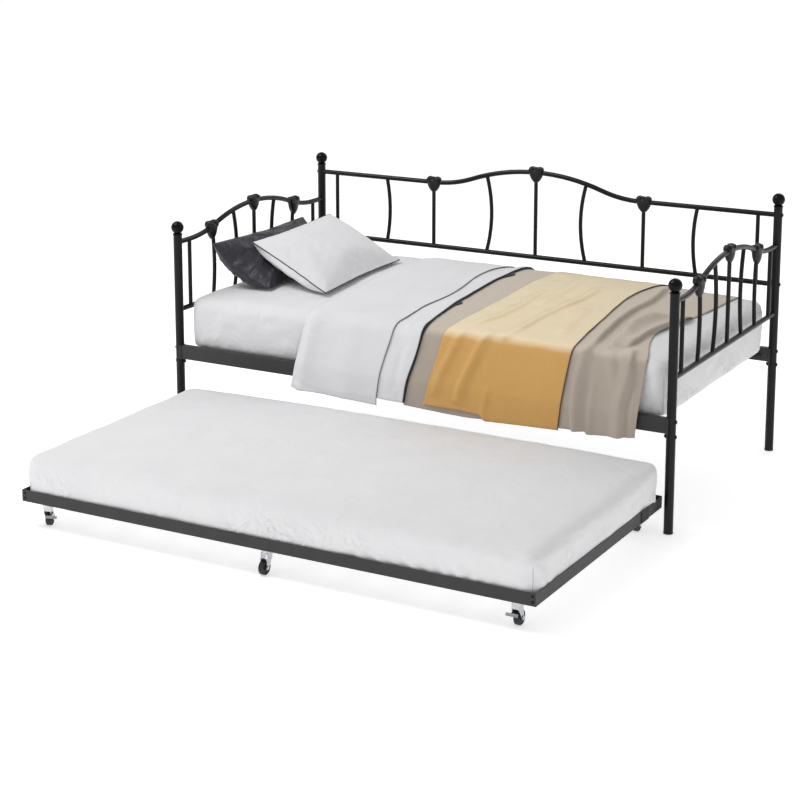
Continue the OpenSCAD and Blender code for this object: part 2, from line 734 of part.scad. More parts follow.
// Half of the wheel's section: hub, web and a tyre with a shoulder groove.
module wheel_section(r, w) {
    polygon([[axle_r + 0.05, 0], [axle_r + 0.05, w], [hub_r, w], [hub_r, w - 2], [r - 5, w - 2], [r - 4, w],
             [r - 2, w], [r, w - 2], [r, 0]]);
}
module wheel() {
    color(RUBBER) translate([0, trail, axle_z]) along_x() rotate_extrude($fn = 64) union() {
        wheel_section(wheel_d / 2, wheel_w / 2);
        mirror([0, 1]) wheel_section(wheel_d / 2, wheel_w / 2);
    }
}

// Stamped lever on the fork leg: its cross bar is both the toe over the tread and the foot tab.
module brake() {
    x0 = leg_in + leg_t + lever_gap;
    bar_r = axle_z + shoe_gap + 1;
    color(STEEL) difference() {
        union() {
            translate([x0, 0, 0]) rotate([90, 0, 90]) linear_extrude(height = lever_t) union() {
                translate(rivet) circle(r = 6, $fn = 32);
                polygon([[rivet[0], rivet[1] + 6], [-11, 40], [-11, 32], [-6, 33],
                         [rivet[0] + 2, rivet[1] - 5.5]]);
            }
            translate([-7, trail, axle_z]) rotate([shoe_angle - 180, 0, 0]) mirror([0, 1, 0])
                translate([0, bar_r - 1, -5]) cube([x0 + 26, 2, 10]);
        }
        translate([0, rivet[0], rivet[1]]) along_x() cylinder(h = 60, r = rivet_r + 0.05, $fn = 32);
    }
}

post_front_left();
post_front_right();
post_back_left();
post_back_right();
lower_legs();
ball_finials();
foot_caps();
back_top_rail();
back_bottom_rail();
back_spindles();
back_hearts();
left_arm_top_rail();
left_arm_bottom_rail();
left_arm_spindles();
left_arm_hearts();
right_arm_top_rail();
right_arm_bottom_rail();
right_arm_spindles();
right_arm_hearts();
front_side_rail();
back_side_rail();
deck_slats();
deck_screws();
frame_bolts();
frame_nuts();
mattress();
dark_pillow();
white_pillow();
top_sheet();
blanket();
throw();
trundle_front_rail();
trundle_back_rail();
trundle_left_rail();
trundle_right_rail();
trundle_slats();
trundle_bolts();
trundle_nuts();
trundle_mattress();
trundle_bumpers();
caster_stems();
for (i = [0:len(CASTERS) - 1]) {
    at_swivel(i) fork();
    at_swivel(i) wheel();
    at_swivel(i) brake();
}
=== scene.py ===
import math

import bmesh
import bpy
import numpy as np
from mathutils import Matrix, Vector, noise
from mathutils.bvhtree import BVHTree


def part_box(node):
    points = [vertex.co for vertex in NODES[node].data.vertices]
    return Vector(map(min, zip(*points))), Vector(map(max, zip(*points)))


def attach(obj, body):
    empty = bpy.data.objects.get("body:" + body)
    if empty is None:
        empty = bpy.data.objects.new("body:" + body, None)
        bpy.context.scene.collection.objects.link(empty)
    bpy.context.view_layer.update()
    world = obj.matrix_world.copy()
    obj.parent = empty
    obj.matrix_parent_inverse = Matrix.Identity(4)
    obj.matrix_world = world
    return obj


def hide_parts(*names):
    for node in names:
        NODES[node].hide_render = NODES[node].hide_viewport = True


# A made-up steel daybed over a roll-out trundle. The frame, the slats and the casters keep their CAD
# shapes and get a finish. Mattresses, covers, pillows and cast hearts are modelled here, each in the
# place of a plain CAD node.

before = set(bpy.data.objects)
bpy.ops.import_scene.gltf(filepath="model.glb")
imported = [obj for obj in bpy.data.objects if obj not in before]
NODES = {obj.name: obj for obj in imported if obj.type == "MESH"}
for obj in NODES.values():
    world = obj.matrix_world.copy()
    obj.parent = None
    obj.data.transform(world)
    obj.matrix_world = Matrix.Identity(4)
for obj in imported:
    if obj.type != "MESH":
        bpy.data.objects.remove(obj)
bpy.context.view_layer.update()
SCENE = bpy.context.scene

# ------------------------------------ places taken from the frame, in metres

BED_LOW, BED_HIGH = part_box("mattress")
TRUNDLE_LOW, TRUNDLE_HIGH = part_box("trundle_mattress")
RAIL_LOW, RAIL_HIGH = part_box("front_side_rail")
BED_Y = (RAIL_LOW.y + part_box("back_side_rail")[1].y) / 2
COVER_BACK_Y = BED_HIGH.y - 0.004       # the covers end just short of the mattress's back edge


# ------------------------------------ camera, lights and floor

CAMERA_YAW, CAMERA_PITCH = math.radians(29.09), math.radians(11.67)
CAMERA_PLACE = (3.181, BED_Y - 6.297, 2.257)
CAMERA_REACH = 100      # how far it sees
SENSOR_MM, LENS_MM = 36, 87.66
LENS_SHIFT = -0.2       # less than the photo's, so that the bed stays in the picture from other sides
WHITE = (1, 1, 1, 1)
WORLD_STRENGTH = 0.53
LIGHTS = (              # name, place, target, width in metres, power in watts
    ("key", (-2.4, -1.5, 4.8), (0, 0, 0.3), 2.4, 114),
    ("fill", (4.5, -4.5, 2.2), (0, 0, 0.3), 3.5, 1),
    ("back", (0.5, 4.5, 3.8), (0, 0, 0.5), 3.5, 35),
)
FLOOR_REACH = 30
FLOOR_DROP = 0.0005     # how far the floor lies below the feet, so that no two faces meet


def make_camera():
    data = bpy.data.cameras.new("camera")
    data.sensor_width = SENSOR_MM
    data.lens = LENS_MM
    data.shift_y = LENS_SHIFT
    data.clip_end = CAMERA_REACH
    cam = bpy.data.objects.new("camera", data)
    cam.location = CAMERA_PLACE
    cam.rotation_euler = (math.pi / 2 - CAMERA_PITCH, 0, CAMERA_YAW)
    SCENE.collection.objects.link(cam)
    SCENE.camera = cam


def area_light(name, place, target, size, power):
    data = bpy.data.lights.new(name, "AREA")
    data.shape = "DISK"
    data.size, data.energy = size, power
    lamp = bpy.data.objects.new(name, data)
    lamp.location = place
    lamp.rotation_euler = (Vector(target) - Vector(place)).to_track_quat("-Z", "Y").to_euler()
    SCENE.collection.objects.link(lamp)


def make_floor():
    mesh = bpy.data.meshes.new("floor")
    signs = ((-1, -1), (1, -1), (1, 1), (-1, 1))
    mesh.from_pydata([(x * FLOOR_REACH, y * FLOOR_REACH, 0) for x, y in signs], [], [(0, 1, 2, 3)])
    floor = bpy.data.objects.new("floor", mesh)
    floor.location.z = -FLOOR_DROP
    SCENE.collection.objects.link(floor)
    look = Nodes("floor", Base_Color=(0.97, 0.97, 0.97, 1), Roughness=0.9, Specular_IOR_Level=0.1,
                 Emission_Color=WHITE, Emission_Strength=0.5)
    mesh.materials.append(look.mat)


def make_studio():
    world = bpy.data.worlds.new("studio")
    world.use_nodes = True
    sky = world.node_tree.nodes["Background"].inputs
    sky["Color"].default_value = WHITE
    sky["Strength"].default_value = WORLD_STRENGTH
    SCENE.world = world
    SCENE.view_settings.view_transform = "Standard"
    for light in LIGHTS:
        area_light(*light)
    make_floor()


# ------------------------------------ materials

TOP_LIGHT_SLOPE = (0.5, 0.9)      # the normal's z where the painted top light begins, and where it's all that shows


class Nodes:
    """A material's node tree, with short calls for the nodes used here."""

    def __init__(self, name, **sockets):
        self.mat = bpy.data.materials.new(name)
        self.mat.use_nodes = True
        self.tree = self.mat.node_tree
        self.shader = self.tree.nodes["Principled BSDF"]
        self.coords = self.tree.nodes.new("ShaderNodeTexCoord").outputs["Object"]
        for key, value in sockets.items():
            self.shader.inputs[key.replace("_", " ")].default_value = value

    def node(self, kind, inputs=None, **options):
        made = self.tree.nodes.new("ShaderNode" + kind)
        for key, value in options.items():
            setattr(made, key, value)
        for key, value in (inputs or {}).items():
            if isinstance(value, bpy.types.NodeSocket):
                self.tree.links.new(value, made.inputs[key])
            else:
                made.inputs[key].default_value = value
        return made

    def stretched(self, scale):
        return self.node("Mapping", {"Vector": self.coords, "Scale": scale}).outputs["Vector"]

    def noise(self, scale, detail=3.0, roughness=0.5, vector=None, distortion=0.0):
        inputs = {"Vector": vector or self.coords, "Scale": scale, "Detail": detail,
                  "Roughness": roughness, "Distortion": distortion}
        return self.node("TexNoise", inputs).outputs["Fac"]

    def wave(self, scale, direction):
        inputs = {"Vector": self.coords, "Scale": scale, "Distortion": 0.0, "Detail": 1.0}
        return self.node("TexWave", inputs, wave_type="BANDS", bands_direction=direction).outputs["Fac"]

    def math(self, operation, a, b):
        return self.node("Math", {0: a, 1: b}, operation=operation).outputs[0]

    def upright(self, vector):
        """The z of a vector."""
        return self.node("SeparateXYZ", {"Vector": vector}).outputs["Z"]

    def ramp(self, value, low, high, start=0.0, end=1.0):
        """Takes start..end to low..high, and goes no further at either end."""
        inputs = {"Value": value, "From Min": start, "From Max": end, "To Min": low, "To Max": high}
        return self.node("MapRange", inputs).outputs["Result"]

    def mix(self, factor, a, b):
        return self.node("Mix", {"Factor": factor, 6: a, 7: b}, data_type="RGBA").outputs[2]

    def painted_top_light(self, most):
        """From 0 where the surface is steep to most where it lies flat: painted light, paler on the tops
        where light falls from above.
        """
        return self.ramp(self.upright(self.node("TexCoord").outputs["Normal"]), 0.0, most, *TOP_LIGHT_SLOPE)

    def set(self, key, value):
        self.tree.links.new(value, self.shader.inputs[key])

    def bump(self, layers):
        """layers is (height, distance in metres, strength), each on top of the last."""
        normal = None
        for height, distance, strength in layers:
            inputs = {"Height": height, "Distance": distance, "Strength": strength}
            if normal is not None:
                inputs["Normal"] = normal
            normal = self.node("Bump", inputs).outputs["Normal"]
        self.set("Normal", normal)


def grey(shade):
    return shade, shade, shade, 1


def powder_coat(name, shade, rough, gloss):
    m = Nodes(name, Specular_IOR_Level=gloss)
    light = (shade * 1.25, shade * 1.22, shade * 1.25, 1)
    m.set("Base Color", m.mix(m.noise(14, detail=4), grey(shade * 0.8), light))
    m.set("Roughness", m.ramp(m.noise(40, detail=5, roughness=0.6), rough - 0.07, rough + 0.1))
    m.bump([(m.noise(1100, detail=2), 0.0004, 0.22), (m.noise(260, detail=2), 0.0006, 0.1)])
    return m.mat


def zinc():
    m = Nodes("zinc", Metallic=1.0)
    spangle = m.node("TexVoronoi", {"Vector": m.coords, "Scale": 160.0}).outputs["Color"]
    m.set("Base Color", m.mix(m.noise(60, detail=4), (0.40, 0.41, 0.43, 1), (0.62, 0.63, 0.65, 1)))
    m.set("Roughness", m.ramp(m.node("SeparateColor", {"Color": spangle}).outputs["Red"], 0.16, 0.32))
    m.bump([(m.noise(700, vector=m.stretched((1, 1, 6))), 0.0003, 0.16)])
    return m.mat


def rubber(name, shade, rough):
    m = Nodes(name, Specular_IOR_Level=0.4)
    m.set("Base Color", m.mix(m.noise(45, detail=5, roughness=0.65), grey(shade * 0.7), grey(shade * 1.6)))
    m.set("Roughness", m.ramp(m.noise(90, detail=4), rough - 0.1, rough + 0.12))
    m.bump([(m.noise(900), 0.0004, 0.25)])
    return m.mat


def weave(m, pitch):
    """Warp and weft threads, a pitch apart on every axis, so that no UV is needed."""
    scale = math.pi / pitch / 10
    bands = [m.wave(scale, axis) for axis in "XYZ"]
    return m.math("ADD", m.math("ADD", bands[0], bands[1]), bands[2])


def puckers(m, foot):
    """Short upright wrinkles of a fitted sheet, in patches along its foot, which is at height foot."""
    low = m.ramp(m.upright(m.coords), 0.0, 1.0, foot + 0.085, foot + 0.005)
    patch = m.ramp(m.noise(3.5, detail=2), 0.0, 1.0, 0.50, 0.64)
    wrinkle = m.noise(17, detail=1, vector=m.stretched((1, 1, 0.7)), distortion=2.2)
    return m.math("MULTIPLY", wrinkle, m.math("MULTIPLY", low, patch))


def cotton(name, dark, light, thread=0.0009, crease=0.30, sheen=0.25, foot=None):
    """Plain cotton. thread is the weave's pitch, and foot the height of a fitted sheet's elastic."""
    m = Nodes(name, Sheen_Weight=sheen, Sheen_Roughness=0.45, Specular_IOR_Level=0.25)
    m.set("Base Color", m.mix(m.noise(7, detail=5, roughness=0.6), dark, light))
    m.set("Roughness", m.ramp(m.noise(30), 0.80, 0.92))
    soft = m.noise(9, detail=5, roughness=0.55, distortion=0.7)
    fine = m.noise(34, detail=4, distortion=1.1)
    layers = [(soft, 0.02, crease), (fine, 0.004, crease * 0.7), (weave(m, thread), 0.0002, 0.2)]
    m.bump(layers if foot is None else [(puckers(m, foot), 0.028, 0.6)] + layers)
    return m.mat


def wool():
    m = Nodes("taupe_blanket", Sheen_Weight=0.35, Sheen_Roughness=0.5, Sheen_Tint=(1.0, 0.96, 0.9, 1),
              Specular_IOR_Level=0.2)
    fleck = m.noise(420, roughness=0.7)
    deep = m.mix(m.noise(5, detail=4), (0.400, 0.335, 0.272, 1), (0.48, 0.415, 0.345, 1))
    # painted light: faces that point up get a paler tone, for the light that falls on the blanket's top
    tone = m.mix(m.painted_top_light(0.85), deep, (0.67, 0.58, 0.475, 1))
    m.set("Base Color", m.mix(m.ramp(fleck, 0.0, 0.35), tone, (0.62, 0.56, 0.50, 1)))
    m.set("Roughness", m.ramp(m.noise(25), 0.85, 0.97))
    soft = m.noise(11, detail=4, distortion=0.6)
    m.bump([(soft, 0.012, 0.25), (weave(m, 0.0022), 0.0008, 0.35), (fleck, 0.001, 0.3)])
    return m.mat


def brushed_cotton():
    m = Nodes("mustard_throw", Sheen_Weight=1.0, Sheen_Roughness=0.33, Sheen_Tint=(1.0, 0.97, 0.84, 1),
              Specular_IOR_Level=0.2)
    deep = m.mix(m.noise(4, detail=5, roughness=0.6), (0.62, 0.335, 0.085, 1), (0.70, 0.40, 0.13, 1))
    # painted light: faces that point up turn pale, for the strong light on the throw's top
    tone = m.mix(m.painted_top_light(0.95), deep, (0.96, 0.83, 0.585, 1))
    nap = m.noise(600, roughness=0.7, vector=m.stretched((1, 0.35, 0.35)))
    m.set("Base Color", m.mix(m.ramp(nap, 0.0, 0.3), tone, (0.80, 0.55, 0.27, 1)))
    m.set("Roughness", m.ramp(m.noise(20), 0.78, 0.92))
    soft = m.noise(10, detail=4, distortion=0.8)
    m.bump([(soft, 0.015, 0.25), (weave(m, 0.0016), 0.0005, 0.25), (nap, 0.0008, 0.3)])
    return m.mat


def satin():
    m = Nodes("charcoal_satin", Sheen_Weight=0.12, Sheen_Roughness=0.3, Anisotropic=0.5,
              Specular_IOR_Level=0.5)
    m.set("Base Color", m.mix(m.noise(6, detail=4), (0.014, 0.013, 0.020, 1), (0.034, 0.032, 0.045, 1)))
    m.set("Roughness", m.ramp(m.noise(18, detail=4), 0.34, 0.50))
    soft = m.noise(12, detail=5, roughness=0.55, distortion=1.2)
    threads = m.noise(900, detail=2, vector=m.stretched((1, 0.1, 1)))
    m.bump([(soft, 0.03, 0.5), (threads, 0.0003, 0.2)])
    return m.mat


def piping_cloth():
    m = Nodes("black_piping", Sheen_Weight=0.2, Specular_IOR_Level=0.35)
    m.set("Base Color", m.mix(m.noise(90), (0.018, 0.018, 0.022, 1), (0.045, 0.044, 0.052, 1)))
    m.set("Roughness", m.ramp(m.noise(120), 0.6, 0.8))
    m.bump([(m.noise(1500, detail=2, vector=m.stretched((1, 1, 0.3))), 0.0004, 0.4)])
    return m.mat


COAT = powder_coat("powder_coat", shade=0.005, rough=0.30, gloss=0.24)
COAT_GLOSS = powder_coat("powder_coat_gloss", shade=0.004, rough=0.20, gloss=0.15)
COAT_CAST = powder_coat("powder_coat_cast", shade=0.006, rough=0.34, gloss=0.35)
# the same black coat for the flat rails, rougher and painted lighter to stand in for the reflection that
# their flat faces show
COAT_FLAT_LIT = powder_coat("powder_coat_flat_lit", shade=0.038, rough=0.50, gloss=0.32)
ZINC = zinc()
TREAD = rubber("wheel_rubber", shade=0.016, rough=0.55)
RUBBER = rubber("black_rubber", shade=0.022, rough=0.7)
FITTED = cotton("fitted_sheet", dark=(0.76, 0.76, 0.775, 1), light=(0.84, 0.84, 0.85, 1), crease=0.35,
                foot=BED_LOW.z + 0.02)
# the same white cotton on the roll-out mattress, painted lighter to stand in for the brighter light on it
FITTED_LOW_LIT = cotton("fitted_sheet_low_lit", dark=(0.79, 0.79, 0.805, 1), light=(0.87, 0.87, 0.88, 1),
                    crease=0.35, foot=TRUNDLE_LOW.z + 0.04)
# painted shade: the seam cords are grey for the shade along the sewn corners of the white sheets
SEAM_SHADE = cotton("sheet_seam_shade", dark=(0.42, 0.42, 0.43, 1), light=(0.50, 0.50, 0.51, 1))
PERCALE = cotton("white_percale", dark=(0.75, 0.75, 0.765, 1), light=(0.825, 0.825, 0.84, 1), thread=0.0007)
LINING = cotton("charcoal_lining", dark=(0.035, 0.035, 0.042, 1), light=(0.06, 0.06, 0.07, 1), sheen=0.15)
WOOL = wool()
MUSTARD = brushed_cotton()
SATIN = satin()
PIPING = piping_cloth()

NODE_FINISHES = {
    "ball_finials": COAT_GLOSS, "foot_caps": RUBBER, "trundle_bumpers": RUBBER,
    "deck_screws": ZINC, "caster_stems": ZINC,
}


def finish_of(node):
    if node.startswith("wheel_"):
        return TREAD
    if node.startswith(("fork_", "brake_")):
        return ZINC
    if node.endswith("_rail") and not node.endswith(("_top_rail", "_bottom_rail")):
        return COAT_FLAT_LIT
    return NODE_FINISHES.get(node, COAT)


def dress_cad_nodes():
    for name, obj in NODES.items():
        obj.data.materials.clear()
        obj.data.materials.append(finish_of(name))


# ------------------------------------ mesh helpers

def evaluated(obj):
    return obj.evaluated_get(bpy.context.evaluated_depsgraph_get())


def add_mesh(name, mesh, material):
    """Puts a mesh in the scene as a smooth-shaded object."""
    mesh.materials.append(material)
    mesh.polygons.foreach_set("use_smooth", [True] * len(mesh.polygons))
    obj = bpy.data.objects.new(name, mesh)
    SCENE.collection.objects.link(obj)
    return obj


def new_object(name, verts, faces, material):
    mesh = bpy.data.meshes.new(name)
    mesh.from_pydata([tuple(v) for v in verts], [], faces)
    mesh.update()
    return add_mesh(name, mesh, material)


def grid_faces(rows, columns):
    return [(r * columns + c, r * columns + c + 1, (r + 1) * columns + c + 1, (r + 1) * columns + c)
            for r in range(rows - 1) for c in range(columns - 1)]


def subdivided(obj):
    mod = obj.modifiers.new("smooth", "SUBSURF")
    mod.levels = mod.render_levels = 1
    return obj


def tube(name, points, radius, material, sides):
    """A round cord along points, with closed ends."""
    points = [Vector(p) for p in points]
    verts, faces = [], []
    side = None
    for i, p in enumerate(points):
        along = (points[min(i + 1, len(points) - 1)] - points[max(i - 1, 0)]).normalized()
        side = (along.orthogonal() if side is None else side - along * side.dot(along)).normalized()
        up = along.cross(side)
        for k in range(sides):
            turn = 2 * math.pi * k / sides
            verts.append(p + (side * math.cos(turn) + up * math.sin(turn)) * radius)
    for i in range(len(points) - 1):
        for k in range(sides):
            j = (k + 1) % sides
            faces.append((i * sides + k, i * sides + j, (i + 1) * sides + j, (i + 1) * sides + k))
    last = (len(points) - 1) * sides
    faces.append(tuple(range(sides - 1, -1, -1)))
    faces.append(tuple(last + k for k in range(sides)))
    return new_object(name, verts, faces, material)


def surface_tree(obj):
    mesh = evaluated(obj).to_mesh()
    places = [v.co.copy() for v in mesh.vertices]
    return BVHTree.FromPolygons(places, [tuple(f.vertices) for f in mesh.polygons])


def soft_noise(p, scale, seed):
    """Smooth noise at a place, about -1 to 1. Each seed moves the pattern somewhere else."""
    x, y, z = p[0] * scale + seed * 7.3, p[1] * scale - seed * 3.1, p[2] * scale + seed * 1.7
    return noise.noise(Vector((x, y, z)))


def smoothstep(a, b, x):
    t = min(max((x - a) / (b - a), 0.0), 1.0)
    return t * t * (3 - 2 * t)


# ------------------------------------ mattresses

EDGE_R = 0.042              # rounding of a mattress's upper edge
BACK_EDGE_R = 0.022         # rounding of its upper edge at the back
FOOT_R = 0.014              # rounding of its lower edge
PLAN_R = 0.048              # rounding of its corners seen from above
MATTRESS_PITCH = 0.0155     # size of its faces, before they're subdivided
CROWN = 0.038               # how much higher the bed mattress's top is than its edge
TRUNDLE_CROWN = 0.028
BED_TOP = BED_HIGH.z + 0.028
TRUNDLE_TOP = TRUNDLE_HIGH.z + 0.018
TRUNDLE_SPREAD = Vector((0.007, 0.003, 0))      # how far it stands out past its CAD block
BROAD_DIPS, FINE_DIPS = 0.0040, 0.0020          # unevenness of the top
GATHER = 0.0060             # depth of the fitted sheet's gathers round the foot
SLACK = 0.0034              # depth of its loose waves on the sides
CORNER_PLEATS = 0.0030      # depth of the small pleats at its corners
GATHER_RATE, PLEAT_RATE = 62, 130               # radians a metre
BELLY = 0.004               # how much further the sides stand out half way up than at top and foot
SEAM_RADIUS = 0.0013
SEAM_SINK = 0.0006          # how far a seam's middle lies inside the sheet
SEAM_STEP = 0.008
SEAM_SHARE = 0.68           # how far up the mattress a seam goes
SEAM_PROBE = 0.05           # how far outside the corner the rays start that find the sheet


def crowned(x, y, half_x, half_y, crown):
    """Height of a soft top above its edge. It rises from the front and falls off late at the back."""
    t = min(max(0.5 + y / half_y / 2, 0.0), 1.0)
    return crown * (1 - abs(x / half_x) ** 4) * (1 - (1 - t) ** 2.2) * (1 - t ** 16)


def round_zone(a, b):
    """Takes a point of a square zone's edge to the quarter circle inside it."""
    length = math.hypot(a, b)
    return max(abs(a), abs(b)) / length if length > 1e-9 else 1.0


def rounded(p, half):
    """Moves a point of a sharp block onto the rounded one, and also gives its way outward."""
    core = Vector([max(PLAN_R - h, min(h - PLAN_R, c)) for h, c in zip(half[:2], p[:2])])
    out = Vector((p.x, p.y)) - core
    out *= round_zone(out.x, out.y)
    reach = out.length
    way = out.normalized() if reach > 1e-9 else Vector((0, 0))
    r = EDGE_R + (BACK_EDGE_R - EDGE_R) * smoothstep(0.5, 0.95, p.y / half.y) if p.z > 0 else FOOT_R
    level = half.z - r
    over, up = reach - (PLAN_R - r), abs(p.z) - level
    if over > 0 and up > 0:
        k = round_zone(over, up)
        reach = PLAN_R - r + over * k
        up *= k
    z = math.copysign(level + up, p.z) if abs(p.z) > level else p.z
    flat = core + way * reach
    return Vector((flat.x, flat.y, z)), Vector((way.x, way.y, 0)) * smoothstep(PLAN_R - 0.03, PLAN_R, reach)


def sheeted(p, way, half, crown, seed):
    """How far the foam and its fitted sheet move a point of the rounded block."""
    top = smoothstep(-0.3, 1.0, p.z / half.z)
    foot = 1 - smoothstep(-half.z + 0.02, -half.z + 0.085, p.z)
    up = (crowned(p.x, p.y, half.x, half.y, crown) - crown) * top
    up += top * (BROAD_DIPS * soft_noise(p, 4.0, seed) + FINE_DIPS * soft_noise(p, 12, seed + 1))
    along = p.x if abs(way.y) > abs(way.x) else p.y
    phase = along * GATHER_RATE + 9 * p.z + 6 * soft_noise(p, 6, seed + 2)
    gather = GATHER * foot * (1 - 2 * abs(math.sin(phase)))
    gather *= smoothstep(-0.1, 0.35, soft_noise(Vector((along, 0, 0)), 3.0, seed + 3))
    slack = SLACK * soft_noise(Vector((along, p.z * 1.6, 0)), 14, seed + 4)
    corner = (abs(p.x) / half.x * abs(p.y) / half.y) ** 14
    tension = CORNER_PLEATS * corner * math.sin((p.x + p.y + 2 * p.z) * PLEAT_RATE)
    belly = BELLY * (1 - (p.z / half.z) ** 2)
    return way * (belly + gather + slack + tension - BELLY) + Vector((0, 0, up))


def mattress(name, low, high, crown, seed, cloth):
    """A rounded block with a crowned top, bellied sides and a fitted sheet's gathers round the foot."""
    centre, half = (low + high) / 2, (high - low) / 2
    work = bmesh.new()
    bmesh.ops.create_cube(work, size=2)
    for axis in range(3):
        count = max(2, round(2 * half[axis] / MATTRESS_PITCH))
        normal = Vector([1 if a == axis else 0 for a in range(3)])
        for i in range(1, count):
            bmesh.ops.bisect_plane(work, geom=work.verts[:] + work.edges[:] + work.faces[:],
                                   plane_co=normal * (2 * i / count - 1), plane_no=normal, dist=1e-6)
    for v in work.verts:
        p, way = rounded(Vector([c * h for c, h in zip(v.co, half)]), half)
        v.co = p + sheeted(p, way, half, crown, seed) + centre
    mesh = bpy.data.meshes.new(name)
    work.to_mesh(mesh)
    work.free()
    return subdivided(add_mesh(name, mesh, cloth))


def corner_seams(name, obj, low, high, body):
    """The four sewn corners of a fitted sheet, as raised seams that begin at the mattress's foot, painted
    grey for the shade along each seam.
    """
    tree = surface_tree(obj)
    seams = []
    for sx in (-1, 1):
        for sy in (-1, 1):
            corner = Vector(((high.x if sx > 0 else low.x), (high.y if sy > 0 else low.y), 0))
            inward = Vector((-sx, -sy, 0)).normalized()
            points = []
            for z in np.arange(low.z + 0.004, low.z + (high.z - low.z) * SEAM_SHARE, SEAM_STEP):
                hit = tree.ray_cast(Vector((corner.x, corner.y, z)) - inward * SEAM_PROBE, inward, 0.2)[0]
                if hit is not None:
                    points.append(hit + inward * SEAM_SINK)
            seams.append(tube(f"{name}_{len(seams) + 1}", points, SEAM_RADIUS, SEAM_SHADE, sides=6))
    for seam in seams:
        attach(seam, body)


def make_mattresses():
    high = Vector((BED_HIGH.x, BED_HIGH.y + 0.006, BED_TOP))
    bed = mattress("bed_mattress", BED_LOW, high, CROWN, seed=1, cloth=FITTED)
    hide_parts("mattress")
    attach(bed, "daybed")
    corner_seams("bed_mattress_seam", bed, BED_LOW, BED_HIGH, "daybed")
    high = Vector((TRUNDLE_HIGH.x, TRUNDLE_HIGH.y, TRUNDLE_TOP)) + TRUNDLE_SPREAD
    low = TRUNDLE_LOW - TRUNDLE_SPREAD
    lower = mattress("rollout_mattress", low, high, TRUNDLE_CROWN, seed=5, cloth=FITTED_LOW_LIT)
    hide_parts("trundle_mattress")
    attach(lower, "trundle")
    corner_seams("rollout_mattress_seam", lower, TRUNDLE_LOW, TRUNDLE_HIGH, "trundle")


# ------------------------------------ covers

COVER_T = 0.003         # thickness of a cover
AIR = 0.0012            # room left under it
COVER_PITCH = 0.0065    # size of its faces
LOWEST_HEM = 0.285      # height at which the line that the covers take ends
USUAL_HEM = 0.305       # height by which the rows of a cover's faces are counted
SINK = 0.04             # how far a cover may follow the mattress down below its highest line
SINK_RUN = 0.08         # length over which that begins, behind the front edge
PROBE = 0.12            # how far above the bed the rays start that find what a cover lies on
TURN = math.radians(82)     # how far a cover turns down over the front edge
TURN_STEPS = 9
RAIL_GAP = 0.003        # room between the side rail and a cover
HEM_GAP = 0.009         # how far in front of the side rail a cover ends
TOP_STEPS = 90          # points of the line on the bed's top
LINE_STEP = 0.002       # distance between its points in the end
LINE_ROUNDS = 30        # times that it's smoothed


def bed_surface(y):
    """Height of the bed mattress's top, half way along it."""
    half = (BED_HIGH.y - BED_LOW.y) / 2
    return BED_TOP - CROWN + crowned(0, y - BED_Y, 1, half, CROWN)


def halfway(a):
    """Each inner value, moved half way to the mean of its neighbours."""
    return (a[:-2] + 2 * a[1:-1] + a[2:]) / 4


def along_row(points):
    """The length walked along a row of points, at each one."""
    return np.r_[0, np.cumsum(np.linalg.norm(np.diff(points, axis=0), axis=1))]


def drape_line():
    """(s, y, z) points of the way a cover takes. s is the length from the front edge, below 0 in front."""
    turn_y, turn_z = BED_LOW.y + EDGE_R, bed_surface(BED_LOW.y + EDGE_R)
    pts = [(y, bed_surface(y)) for y in np.linspace(COVER_BACK_Y, turn_y, TOP_STEPS)]
    for i in range(1, TURN_STEPS + 1):
        angle = TURN * i / TURN_STEPS
        pts.append((turn_y - EDGE_R * math.sin(angle), turn_z - EDGE_R * (1 - math.cos(angle))))
    pts += [(RAIL_LOW.y - RAIL_GAP, RAIL_HIGH.z), (RAIL_LOW.y - HEM_GAP, LOWEST_HEM)]
    pts = np.array(pts)
    run = along_row(pts)
    fine = np.arange(0, run[-1], LINE_STEP)
    y, z = np.interp(fine, run, pts[:, 0]), np.interp(fine, run, pts[:, 1])
    for _ in range(LINE_ROUNDS):
        y[1:-1], z[1:-1] = halfway(y), halfway(z)
    edge = np.argmin(np.abs((y - BED_LOW.y) - (turn_z - z)))
    return np.c_[fine[edge] - fine, y, z]


LINE = drape_line()[::-1]                      # s rises from the lowest hem to the back edge
FRONT = LINE[LINE[:, 1] < BED_LOW.y + EDGE_R]  # the part of it that turns down and hangs
LINE_WAY = np.gradient(LINE[:, 1:], axis=0)
LINE_WAY /= np.linalg.norm(LINE_WAY, axis=1)[:, None]


def top(x, y):
    """A place on the bed's top, as x and the length s. y is from the bed's middle."""
    return x, float(np.interp(y + BED_Y, LINE[:, 1], LINE[:, 0]))


def hang(x, z):
    """A place on the part that hangs in front, as x and the length s."""
    return x, float(np.interp(z, FRONT[:, 2], FRONT[:, 0]))


def eased(points, count=60, rounds=10):
    """A smooth row of points along a few given ones."""
    pts = np.array(points)
    run = along_row(pts)
    fine = np.linspace(0, run[-1], count)
    out = np.c_[np.interp(fine, run, pts[:, 0]), np.interp(fine, run, pts[:, 1])]
    for _ in range(rounds):
        out[1:-1] = halfway(out)
    return out


def edge_at(points, s, crisp=False):
    """x of an edge at each length s."""
    row = eased(points, count=240, rounds=8) if crisp else eased(points)
    row = row[np.argsort(row[:, 1])]
    return np.interp(s, row[:, 1], row[:, 0])


def blurred(a):
    p = np.pad(a, 1, mode="edge")
    return (p[:-2, 1:-1] + p[2:, 1:-1] + p[1:-1, :-2] + p[1:-1, 2:] + 4 * a) / 8


def settled(need, rounds=14):
    """A smooth height map that bridges hollows, and is below need only by its last blur."""
    out = need.copy()
    for _ in range(rounds):
        out = np.maximum(blurred(out), need)
    return blurred(out)


